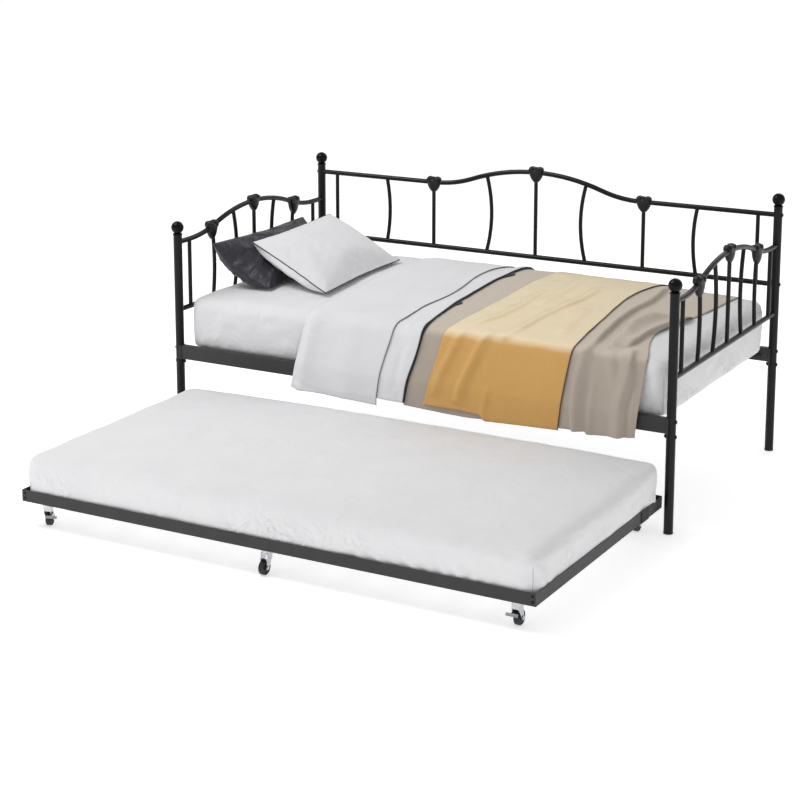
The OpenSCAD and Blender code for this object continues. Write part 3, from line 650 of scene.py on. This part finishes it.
def fold(line, width, height, lean=0.0, ends=(0.15, 0.15)):
    """A fold along line. lean moves its crest sideways, and ends are the shares over which it fades."""
    return {"line": line, "width": width, "height": height, "lean": lean, "ends": ends}


def faded(along, span):
    """Rises from 0 to 1 over the share span of a fold. A span of 0 means no fade."""
    return np.clip(along / span, 0, 1) if span else 1.0


def ridge(x, s, crease):
    """Height and sideways lean of one fold at every point."""
    line = eased(crease["line"], count=40, rounds=6)
    a, b = line[:-1], line[1:]
    way = b - a
    px, ps = x[..., None] - a[:, 0], s[..., None] - a[:, 1]
    t = np.clip((px * way[:, 0] + ps * way[:, 1]) / (way ** 2).sum(1), 0, 1)
    dist = np.hypot(px - t * way[:, 0], ps - t * way[:, 1])
    k = dist.argmin(-1)[..., None]
    near = np.take_along_axis(dist, k, -1)[..., 0]
    along = (k[..., 0] + np.take_along_axis(t, k, -1)[..., 0]) / len(a)
    start, end = crease["ends"]
    fade = faded(along, start) * faded(1 - along, end)
    bump = np.exp(-(near / crease["width"]) ** 2) * np.sqrt(fade)
    return bump * crease["height"], bump * crease["lean"]


def ray_hits(tree, places, ways):
    """How far each place has to move along its way to lie on the surface, or -1 where it misses it."""
    out = np.full(len(places), -1.0)
    for i, (p, n) in enumerate(zip(places, ways)):
        start = Vector(p + n * PROBE)
        hit = tree.ray_cast(start, Vector(-n), PROBE + SINK)
        if hit[0] is not None:
            out[i] = PROBE - hit[3]
    return out


class Cover:
    """A sheet laid over the bed, between a left and a right edge, down to a hem."""

    def __init__(self, name, left, right, hem, folds, under, material, seed, crumple=0.0016, crisp=False):
        self.name, self.material = name, material
        x, s = self.grid(left, right, hem, crisp)
        base, self.out = self.on_line(x, s)
        need = -SINK * np.clip(s / SINK_RUN, 0, 1)
        for tree in under:
            hits = ray_hits(tree, base.reshape(-1, 3), self.out.reshape(-1, 3)).reshape(x.shape)
            need = np.maximum(need, hits + AIR)
        height = settled(need)
        lean = np.zeros_like(x)
        for crease in folds:
            up, side = ridge(x, s, crease)
            height = height + up
            lean = lean + side
        waves = [0.5 + 0.5 * soft_noise((a, b, 0), 9, seed) + 0.25 * soft_noise((a, b, 0), 30, seed + 1)
                 for a, b in zip(x.ravel(), s.ravel())]
        height = height + crumple * np.array(waves).reshape(x.shape)
        self.points = base + self.out * height[..., None]
        self.points[..., 0] += lean

    def grid(self, left, right, hem, crisp):
        """x and s of each point of the sheet, row by row from the back edge down to the hem."""
        widest = max(p[0] for p in right) - min(p[0] for p in left)
        self.columns = max(6, round(widest / COVER_PITCH))
        s_back, s_low = LINE[-1, 0], hang(0, USUAL_HEM)[1]
        self.rows = round((s_back - s_low) / COVER_PITCH)
        u = np.linspace(0, 1, self.columns + 1)
        x_hem = edge_at(left, s_low) + u * (edge_at(right, s_low) - edge_at(left, s_low))
        hem_x, hem_z = np.array(hem).T
        s_hem = np.interp(np.interp(x_hem, hem_x, hem_z), FRONT[:, 2], FRONT[:, 0])
        s = s_back + (s_hem - s_back)[None, :] * np.linspace(0, 1, self.rows + 1)[:, None]
        lo, hi = edge_at(left, s, crisp), edge_at(right, s, crisp)
        return lo + u[None, :] * (hi - lo), s

    def on_line(self, x, s):
        """Places on the drape line's surface, and the way off it."""
        base = np.stack([x, np.interp(s, LINE[:, 0], LINE[:, 1]), np.interp(s, LINE[:, 0], LINE[:, 2])], -1)
        way_y = np.interp(s, LINE[:, 0], LINE_WAY[:, 0])
        way_z = np.interp(s, LINE[:, 0], LINE_WAY[:, 1])
        out = np.stack([np.zeros_like(x), -way_z, way_y], -1)
        out /= np.linalg.norm(out, axis=-1)[..., None]
        return base, out

    def right_edge(self, lift):
        return self.points[:, -1] + self.out[:, -1] * lift

    def build(self):
        verts = self.points.reshape(-1, 3)
        faces = [f[::-1] for f in grid_faces(self.rows + 1, self.columns + 1)]
        obj = new_object(self.name, verts, faces, self.material)
        thick = obj.modifiers.new("cloth", "SOLIDIFY")
        thick.thickness, thick.offset = COVER_T, 1
        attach(obj, "daybed")
        return obj


def lay(flat, rests_on, slot, replaces=None, piping=0.0, **cover):
    """Builds a cover, hides the CAD node that it replaces, and gives back the surface that the next one lies
    on.
    """
    made = Cover(**cover)
    obj = made.build()
    if piping:
        cord = tube(cover["name"] + "_piping", made.right_edge(COVER_T / 2), piping, PIPING, sides=8)
        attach(cord, "daybed")
    if replaces:
        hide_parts(replaces)
    return surface_tree(obj)


# Folds and side edges, as rows of places that a cover's creases and borders follow. The top sheet is
# turned down: OVER is its upper layer, UNDER its lower one, and LINING the dark edge that shows below.

BLANKET_FOLDS = [
    fold([hang(0.666, 0.56), top(0.650, -0.40), top(0.634, -0.235), top(0.620, -0.044), top(0.634, 0.144),
          top(0.602, 0.40)], width=0.015, height=0.021, lean=0.008),
    fold([hang(0.735, 0.58), top(0.743, -0.35), top(0.713, -0.165), top(0.732, -0.06), top(0.765, 0.02)],
          width=0.014, height=0.030, lean=-0.018),
    fold([top(0.765, -0.42), top(0.768, -0.26), top(0.785, -0.13), top(0.83, 0.05)], width=0.013,
          height=0.021, lean=0.012),
    fold([hang(0.666, 0.60), hang(0.655, 0.50), hang(0.655, 0.40), hang(0.665, 0.29)], width=0.018,
          height=0.024, lean=-0.010, ends=(0.4, 0)),
    fold([hang(0.705, 0.50), hang(0.706, 0.40), hang(0.700, 0.29)], width=0.011, height=0.007, lean=-0.006,
          ends=(0.5, 0)),
    fold([top(0.80, -0.42), hang(0.817, 0.53), hang(0.796, 0.43), hang(0.800, 0.29)], width=0.020,
          height=0.024, lean=0.012, ends=(0.3, 0)),
    fold([hang(0.740, 0.60), hang(0.765, 0.53), hang(0.775, 0.45)], width=0.016, height=0.010,
          ends=(0.3, 0.5)),
    fold([hang(0.855, 0.50), hang(0.846, 0.40), hang(0.842, 0.29)], width=0.010, height=0.008,
          ends=(0.5, 0)),
    fold([top(0.06, 0.3), top(0.09, -0.1), top(0.07, -0.4)], width=0.03, height=0.004),
]
THROW_FOLDS = [
    fold([top(0.191, -0.42), top(0.235, -0.306), top(0.248, -0.154), top(0.235, 0.092)], width=0.017,
          height=0.010, lean=0.005),
    fold([top(0.354, -0.48), top(0.369, -0.357), top(0.383, -0.160), top(0.405, -0.017), top(0.414, 0.227)],
          width=0.019, height=0.012, lean=0.006),
    fold([top(0.521, -0.40), top(0.500, -0.22), top(0.487, -0.069)], width=0.020, height=0.008),
    fold([top(0.30, -0.1), top(0.31, 0.12), top(0.29, 0.35)], width=0.020, height=0.009, lean=0.004),
    fold([hang(0.300, 0.59), hang(0.269, 0.522), hang(0.240, 0.448), hang(0.204, 0.341)], width=0.017,
          height=0.015, lean=-0.006, ends=(0.35, 0.25)),
    fold([hang(0.204, 0.59), hang(0.175, 0.524), hang(0.139, 0.435), hang(0.115, 0.36)], width=0.016,
          height=0.011, lean=-0.004, ends=(0.35, 0.35)),
    fold([hang(0.325, 0.42), hang(0.312, 0.36), hang(0.307, 0.29)], width=0.012, height=0.006,
          ends=(0.5, 0)),
]
OVER_FOLDS = [
    fold([hang(-0.375, 0.60), hang(-0.405, 0.50), hang(-0.43, 0.29)], width=0.030, height=0.009,
          lean=-0.004, ends=(0.4, 0)),
    fold([hang(-0.455, 0.325), hang(-0.42, 0.305), hang(-0.36, 0.300)], width=0.009, height=0.009,
          ends=(0.1, 0.7)),
    fold([hang(-0.23, 0.58), hang(-0.24, 0.45), hang(-0.25, 0.29)], width=0.045, height=0.005,
          ends=(0.4, 0)),
    fold([top(-0.22, 0.3), top(-0.16, 0.1), top(-0.15, -0.2)], width=0.03, height=0.003),
    fold([top(-0.30, -0.45), top(-0.22, -0.25), top(-0.24, 0.0)], width=0.025, height=0.003),
]
UNDER_FOLDS = [
    fold([top(-0.03, 0.26), top(-0.035, -0.15), top(-0.03, -0.40), hang(-0.02, 0.52)], width=0.018,
          height=0.004, lean=0.003),
    fold([hang(-0.05, 0.50), hang(-0.06, 0.40), hang(-0.07, 0.29)], width=0.02, height=0.005,
          ends=(0.4, 0)),
]
BLANKET_LEFT = [top(-0.02, 0.49), top(-0.02, -0.4), hang(-0.02, 0.5), hang(-0.006, 0.31)]
BLANKET_RIGHT = [top(0.860, 0.49), top(0.842, 0.105), top(0.806, -0.103), top(0.791, -0.202),
                 top(0.816, -0.308), top(0.870, -0.46), hang(0.888, 0.58), hang(0.880, 0.53),
                 hang(0.874, 0.45), hang(0.864, 0.33)]
LINING_LEFT = [top(-0.03, 0.49), top(-0.03, 0.0), top(0.0, -0.35), hang(0.01, 0.55), hang(-0.02, 0.44),
               hang(-0.05, 0.31)]
LINING_RIGHT = [top(0.010, 0.49), top(0.012, 0.32), top(0.011, 0.295), top(0.034, 0.275), top(0.026, 0.250),
                top(0.010, 0.215), top(0.010, 0.10), top(0.020, -0.10), top(0.023, -0.165),
                top(0.046, -0.19), top(0.030, -0.225), top(0.034, -0.37), top(0.052, -0.47),
                hang(0.049, 0.565), hang(0.041, 0.52), hang(0.032, 0.47), hang(0.016, 0.41),
                hang(0.006, 0.36), hang(-0.003, 0.31)]
UNDER_LEFT = [top(-0.40, 0.49), top(-0.40, -0.4), hang(-0.42, 0.31)]
UNDER_RIGHT = [top(0.007, 0.49), top(0.008, 0.262), top(0.006, 0.10), top(0.020, -0.15), top(0.032, -0.37),
               top(0.048, -0.47), hang(0.046, 0.565), hang(0.038, 0.51), hang(0.022, 0.45),
               hang(0.000, 0.385), hang(-0.006, 0.31)]
OVER_LEFT = [top(-0.436, 0.49), top(-0.436, -0.40), hang(-0.434, 0.56), hang(-0.444, 0.46),
             hang(-0.458, 0.38), hang(-0.474, 0.30)]
OVER_RIGHT = [top(-0.062, 0.49), top(-0.085, 0.374), top(-0.094, 0.235), top(-0.066, 0.03),
              top(-0.047, -0.15), top(-0.078, -0.236), top(-0.066, -0.388), top(-0.062, -0.47),
              hang(-0.066, 0.57), hang(-0.080, 0.52), hang(-0.097, 0.455), hang(-0.110, 0.38),
              hang(-0.117, 0.30)]
THROW_LEFT = [top(0.150, 0.49), top(0.144, 0.163), top(0.145, -0.218), top(0.136, -0.40),
              hang(0.130, 0.585), hang(0.118, 0.52), hang(0.101, 0.432), hang(0.084, 0.364),
              hang(0.073, 0.31)]
THROW_RIGHT = [top(0.578, 0.49), top(0.556, 0.335), top(0.544, 0.135), top(0.562, -0.012),
               top(0.583, -0.178), top(0.594, -0.345), top(0.615, -0.46), hang(0.620, 0.59),
               hang(0.608, 0.55), hang(0.600, 0.458), hang(0.594, 0.373), hang(0.587, 0.30)]


def make_covers():
    bed = [surface_tree(bpy.data.objects["bed_mattress"]), surface_tree(NODES["front_side_rail"])]
    blanket = lay(
        (0.88, 1.26), ["bed_mattress"], "taupe_wool", "blanket", name="taupe_blanket", material=WOOL,
        left=BLANKET_LEFT, right=BLANKET_RIGHT, folds=BLANKET_FOLDS, under=bed, seed=21, crumple=0.0024,
        hem=[(0, 0.307), (0.158, 0.300), (0.250, 0.298), (0.50, 0.309), (0.690, 0.315), (0.703, 0.306),
             (0.861, 0.319)])
    lining = lay(
        (0.05, 1.26), ["taupe_blanket"], "dark_satin", name="sheet_lining", material=LINING, crisp=True,
        left=LINING_LEFT, right=LINING_RIGHT, folds=[], under=bed + [blanket], seed=51, crumple=0.0008,
        hem=[(-0.05, 0.318), (0.0, 0.316)])
    lower = lay(
        (0.43, 1.26), ["taupe_blanket"], "white_cotton", "top_sheet", piping=0.0016,
        name="top_sheet_lower", material=PERCALE, left=UNDER_LEFT, right=UNDER_RIGHT, folds=UNDER_FOLDS,
        under=bed + [blanket, lining], seed=11, hem=[(-0.11, 0.316), (-0.006, 0.316)])
    lay((0.38, 1.26), ["top_sheet_lower"], "white_cotton", piping=0.0013, name="top_sheet_upper",
        material=PERCALE, left=OVER_LEFT, right=OVER_RIGHT, folds=OVER_FOLDS, under=bed + [lower], seed=14,
        hem=[(-0.474, 0.309), (-0.416, 0.303), (-0.294, 0.299), (-0.117, 0.291)])
    lay((0.46, 1.26), ["taupe_blanket"], "mustard_knit", "throw", piping=0.0017, name="mustard_throw",
        material=MUSTARD, left=THROW_LEFT, right=THROW_RIGHT, folds=THROW_FOLDS,
        under=bed + [blanket, lining], seed=31, crumple=0.0024,
        hem=[(0.073, 0.321), (0.220, 0.320), (0.300, 0.314), (0.315, 0.297), (0.432, 0.301), (0.584, 0.305)])


# ------------------------------------ pillows

PILLOW_PITCH = 0.0095
BAG_RISE = 0.012        # how high each layer of the bag is in the middle before it's blown up
PRESSURE = 3
FRAMES = 20
STRAIGHT = 0.85         # how far a blown-up pillow's sides are pulled straight again by its seam
CREASE_RISE = 28        # how fast the creases grow with the distance from the seam's plane, per metre
PILLOW_GAP = 0.004      # room between a pillow and the bed
SKIRT = 0.02            # height over that gap below which a pillow is flattened against the bed


def pillow_bag(name, width, length, material):
    """Two layers of cloth, sewn round the edge, lying in the XY plane, and the vertices of the seam."""
    nx, ny = round(width / PILLOW_PITCH), round(length / PILLOW_PITCH)
    verts, faces, seen = [], [], {}

    def corner(i, j, side):
        rim = i in (0, nx) or j in (0, ny)
        key = (i, j, 0 if rim else side)
        if key not in seen:
            u, v = 2 * i / nx - 1, 2 * j / ny - 1
            seen[key] = len(verts)
            verts.append((u * width / 2, v * length / 2, side * BAG_RISE * (1 - u * u) * (1 - v * v)))
        return seen[key]

    for side in (1, -1):
        for i in range(nx):
            for j in range(ny):
                ring = [corner(a, b, side) for a, b in ((i, j), (i + 1, j), (i + 1, j + 1), (i, j + 1))]
                faces.append(ring if side > 0 else ring[::-1])
    walk = [(i, 0) for i in range(nx)] + [(nx, j) for j in range(ny)]
    walk += [(i, ny) for i in range(nx, 0, -1)] + [(0, j) for j in range(ny, 0, -1)]
    return new_object(name, verts, faces, material), [seen[(i, j, 0)] for i, j in walk]


def inflate(obj):
    """Blows the bag up as cloth, with gravity off, and keeps the result in the mesh."""
    cloth = obj.modifiers.new("cloth", "CLOTH")
    s = cloth.settings
    s.quality = 6
    s.mass = 0.25
    s.use_pressure = True
    s.uniform_pressure_force = PRESSURE
    s.shrink_min = -0.02
    s.effector_weights.gravity = 0
    s.tension_stiffness = s.compression_stiffness = 22
    s.shear_stiffness = 8
    s.bending_stiffness = 0.6
    cloth.collision_settings.use_collision = False
    SCENE.frame_start, SCENE.frame_end = 1, FRAMES
    for f in range(1, FRAMES + 1):
        SCENE.frame_set(f)
    baked = bpy.data.meshes.new_from_object(evaluated(obj))
    obj.modifiers.clear()
    obj.data = baked
    SCENE.frame_set(1)


def coordinates(obj):
    return np.array([v.co for v in obj.data.vertices])


def in_unit_square(plan):
    return plan / (plan.max(0) - plan.min(0)) + 0.5


def creased(u, w, depth, seed):
    """Height of a pillow's creases, at a share u across and w along it. They're weaker at the far end."""
    place = Vector((u * 9, w * 14, seed))
    crease = depth * (0.5 - abs(noise.noise(place * 0.55))) * (1 - (2 * u - 1) ** 4)
    skew = Vector((place.x * 1.5 + place.y * 0.8, place.y * 0.6, seed + 3))
    crease += depth * 0.35 * noise.noise(skew)
    return crease * (1 - 0.6 * smoothstep(0.15, 0.5, w))


def lay_pillow(obj, flat, corners, thickness, bow, belly, creases, seed):
    """Lays the bag on four seam corners: near-upper, near-lower, far-lower, far-upper.

    bow bends its long middle down, and belly pushes its lower layer out past the seam at the near end.
    """
    co = coordinates(obj)
    plan = in_unit_square(flat[:, :2]) * STRAIGHT + in_unit_square(co[:, :2]) * (1 - STRAIGHT)
    squash = thickness / max(co[:, 2].max() - co[:, 2].min(), 1e-6)
    a, b, c, d = (Vector(p) + Vector((0, BED_Y, 0)) for p in corners)
    for v, (u, w), height in zip(obj.data.vertices, plan, co[:, 2]):
        near, far = a.lerp(b, u), d.lerp(c, u)
        across, along = (b - a).lerp(c - d, w).normalized(), (far - near).normalized()
        normal = across.cross(along).normalized()
        middle = 4 * u * (1 - u)
        crease = math.copysign(creased(u, w, creases, seed), height) * min(1, abs(height) * CREASE_RISE)
        rise = height * squash + crease - bow * middle
        slump = belly * smoothstep(0, 0.05, w) * (1 - smoothstep(0.06, 0.4, w)) if height < 0 else 0.0
        v.co = near.lerp(far, w) + normal * (rise - slump * 0.4) - along * slump * middle
        on_bed = bed_surface(v.co.y) + PILLOW_GAP
        if v.co.z < on_bed + SKIRT and v.co.x > BED_LOW.x:
            v.co.z = on_bed + SKIRT * math.exp((v.co.z - on_bed - SKIRT) / SKIRT)
    obj.data.update()


def make_pillow(name, node, slot, size, material, piping=0.0, **lie):
    bag, rim = pillow_bag(name, *size, material)
    flat = coordinates(bag)
    inflate(bag)
    lay_pillow(bag, flat, **lie)
    subdivided(bag)
    if piping:
        smooth = evaluated(bag).to_mesh()
        start = len(rim) // 9
        seam = [smooth.vertices[i].co.copy() for i in rim[start:] + rim[:start + 1]]
        cord = tube(name + "_piping", seam, piping, PIPING, sides=8)
        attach(cord, "daybed")
    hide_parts(node)
    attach(bag, "daybed")


def make_pillows():
    dark = [(-0.942, -0.350, 0.757), (-0.705, -0.315, 0.596),
            (-0.735, 0.300, 0.614), (-0.940, 0.300, 0.752)]
    make_pillow("charcoal_pillow", "dark_pillow", "dark_satin", (0.40, 0.66), SATIN,
                corners=dark, thickness=0.14, bow=0.022, belly=0.02, creases=0.020, seed=2)
    white = [(-0.840, -0.232, 0.752), (-0.467, -0.302, 0.605),
             (-0.475, 0.280, 0.615), (-0.850, 0.360, 0.760)]
    make_pillow("piped_pillow", "white_pillow", "white_cotton", (0.45, 0.66), PERCALE, piping=0.0022,
                corners=white, thickness=0.13, bow=0.0, belly=0.03, creases=0.004, seed=7)


# ------------------------------------ cast hearts

HEART_VOXEL = 0.0017
HEART_MM = (56, 28, 60)              # the size heart_form is drawn for: across, through and up
HEART_GROW = (1.13, 1.20, 1.24)      # across, through and up, next to the CAD heart
HEART_LOBE = (14.0, 13.5, 14.0)      # a lobe's place sideways and up, and its radius
SPIRAL_STEPS = 26
SPIRAL_START, SPIRAL_TURNS = 0.15, 1.15     # in turns
SPIRAL_RIM, SPIRAL_SHRINK = 3.5, 6.5        # how far in it begins, and how much further it goes
SPIRAL_CORD = 2.6                    # radius of its beads
BODY_STEPS = 10
BODY_STEP = 3.8                      # from one of the balls that make up the body to the next one down


def islands(mesh):
    """The vertices of each separate solid in a mesh."""
    parent = list(range(len(mesh.vertices)))

    def root(i):
        while parent[i] != i:
            parent[i] = parent[parent[i]]
            i = parent[i]
        return i

    for edge in mesh.edges:
        a, b = map(root, edge.vertices)
        parent[a] = b
    groups = {}
    for v in mesh.vertices:
        groups.setdefault(root(v.index), []).append(v.co.copy())
    return list(groups.values())


def merged_boxes(mesh):
    """Low and high corners of each solid. Faces may not share vertices, so boxes that overlap are joined."""
    boxes = []
    for group in islands(mesh):
        co = np.array(group)
        low, high = co.min(0), co.max(0)
        while True:
            touching = (b for b in boxes if (b[0] <= high + 1e-3).all() and (low <= b[1] + 1e-3).all())
            near = next(touching, None)
            if near is None:
                break
            boxes = [b for b in boxes if b is not near]
            low, high = np.minimum(low, near[0]), np.maximum(high, near[1])
        boxes.append((low, high))
    return boxes


def blob(work, place, size):
    """A ball stretched to size, all in mm: across, thick, up."""
    made = bmesh.ops.create_icosphere(work, subdivisions=3, radius=1)["verts"]
    for v in made:
        v.co = Vector([p + c * s for p, c, s in zip(place, v.co, size)])


def bead_row(work, points, radius):
    """A thick line of balls, which the remesh joins into one cord."""
    for p in points:
        made = bmesh.ops.create_icosphere(work, subdivisions=1, radius=radius)["verts"]
        bmesh.ops.translate(work, verts=made, vec=p)


def heart_form(work):
    """One heart in mm, x across, y through and z up, with its middle at the origin."""
    dx, dz, r = HEART_LOBE
    thick = 0.92 * r
    for side in (-1, 1):
        blob(work, (side * dx, 0, dz), (r, thick, r))
        for face in (-1, 1):
            spiral = []
            for k in range(SPIRAL_STEPS + 1):
                turn = 2 * math.pi * (SPIRAL_START + SPIRAL_TURNS * k / SPIRAL_STEPS)
                reach = r - SPIRAL_RIM - SPIRAL_SHRINK * k / SPIRAL_STEPS
                out = face * thick * math.sqrt(1 - (reach / r) ** 2)
                place = (side * (dx - reach * math.cos(turn)), out, dz + reach * math.sin(turn))
                spiral.append(Vector(place))
            bead_row(work, spiral, SPIRAL_CORD)
    for k in range(BODY_STEPS + 1):     # the body, down to its tip
        full = (1 - (k / BODY_STEPS) ** 2.2) ** 0.8
        blob(work, (0, 0, 10 - BODY_STEP * k), (7.5 + 19.5 * full, 8 + 6.5 * full, 7))
    blob(work, (0, 0, 20), (6, 10, 6))  # the middle, between the lobes


def placed_heart(low, high):
    """A heart in the place of a plain one, facing the way that it's thin."""
    work = bmesh.new()
    heart_form(work)
    middle, size = (low + high) / 2, high - low
    wide, thin = max(size[:2]), min(size[:2])
    across_x = size[0] > size[1]
    for v in work.verts:
        x = v.co.x / HEART_MM[0] * wide * HEART_GROW[0]
        y = v.co.y / HEART_MM[1] * thin * HEART_GROW[1]
        z = v.co.z / HEART_MM[2] * size[2] * HEART_GROW[2]
        flat = (x, y) if across_x else (y, x)
        v.co = Vector((middle[0] + flat[0], middle[1] + flat[1], middle[2] + z))
    if not across_x:
        bmesh.ops.reverse_faces(work, faces=work.faces)
    piece = bpy.data.meshes.new("heart")
    work.to_mesh(piece)
    work.free()
    return piece


def make_hearts(name, node):
    """Replaces a panel's plain hearts with scrolled ones, each in the place of its own solid."""
    made = bmesh.new()
    for low, high in merged_boxes(NODES[node].data):
        made.from_mesh(placed_heart(low, high))
    mesh = bpy.data.meshes.new(name)
    made.to_mesh(mesh)
    made.free()
    obj = add_mesh(name, mesh, COAT_CAST)
    skin = obj.modifiers.new("skin", "REMESH")
    skin.mode, skin.voxel_size = "VOXEL", HEART_VOXEL
    calm = obj.modifiers.new("calm", "SMOOTH")
    calm.factor, calm.iterations = 0.5, 3
    baked = bpy.data.meshes.new_from_object(evaluated(obj))
    obj.modifiers.clear()
    obj.data = baked
    baked.materials.clear()
    baked.materials.append(COAT_CAST)
    baked.polygons.foreach_set("use_smooth", [True] * len(baked.polygons))
    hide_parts(node)
    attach(obj, "daybed")


# ------------------------------------ build

make_camera()
make_studio()
dress_cad_nodes()
make_mattresses()
make_covers()
make_pillows()
for panel in ("back", "left_arm", "right_arm"):
    make_hearts(panel + "_cast_hearts", panel + "_hearts")
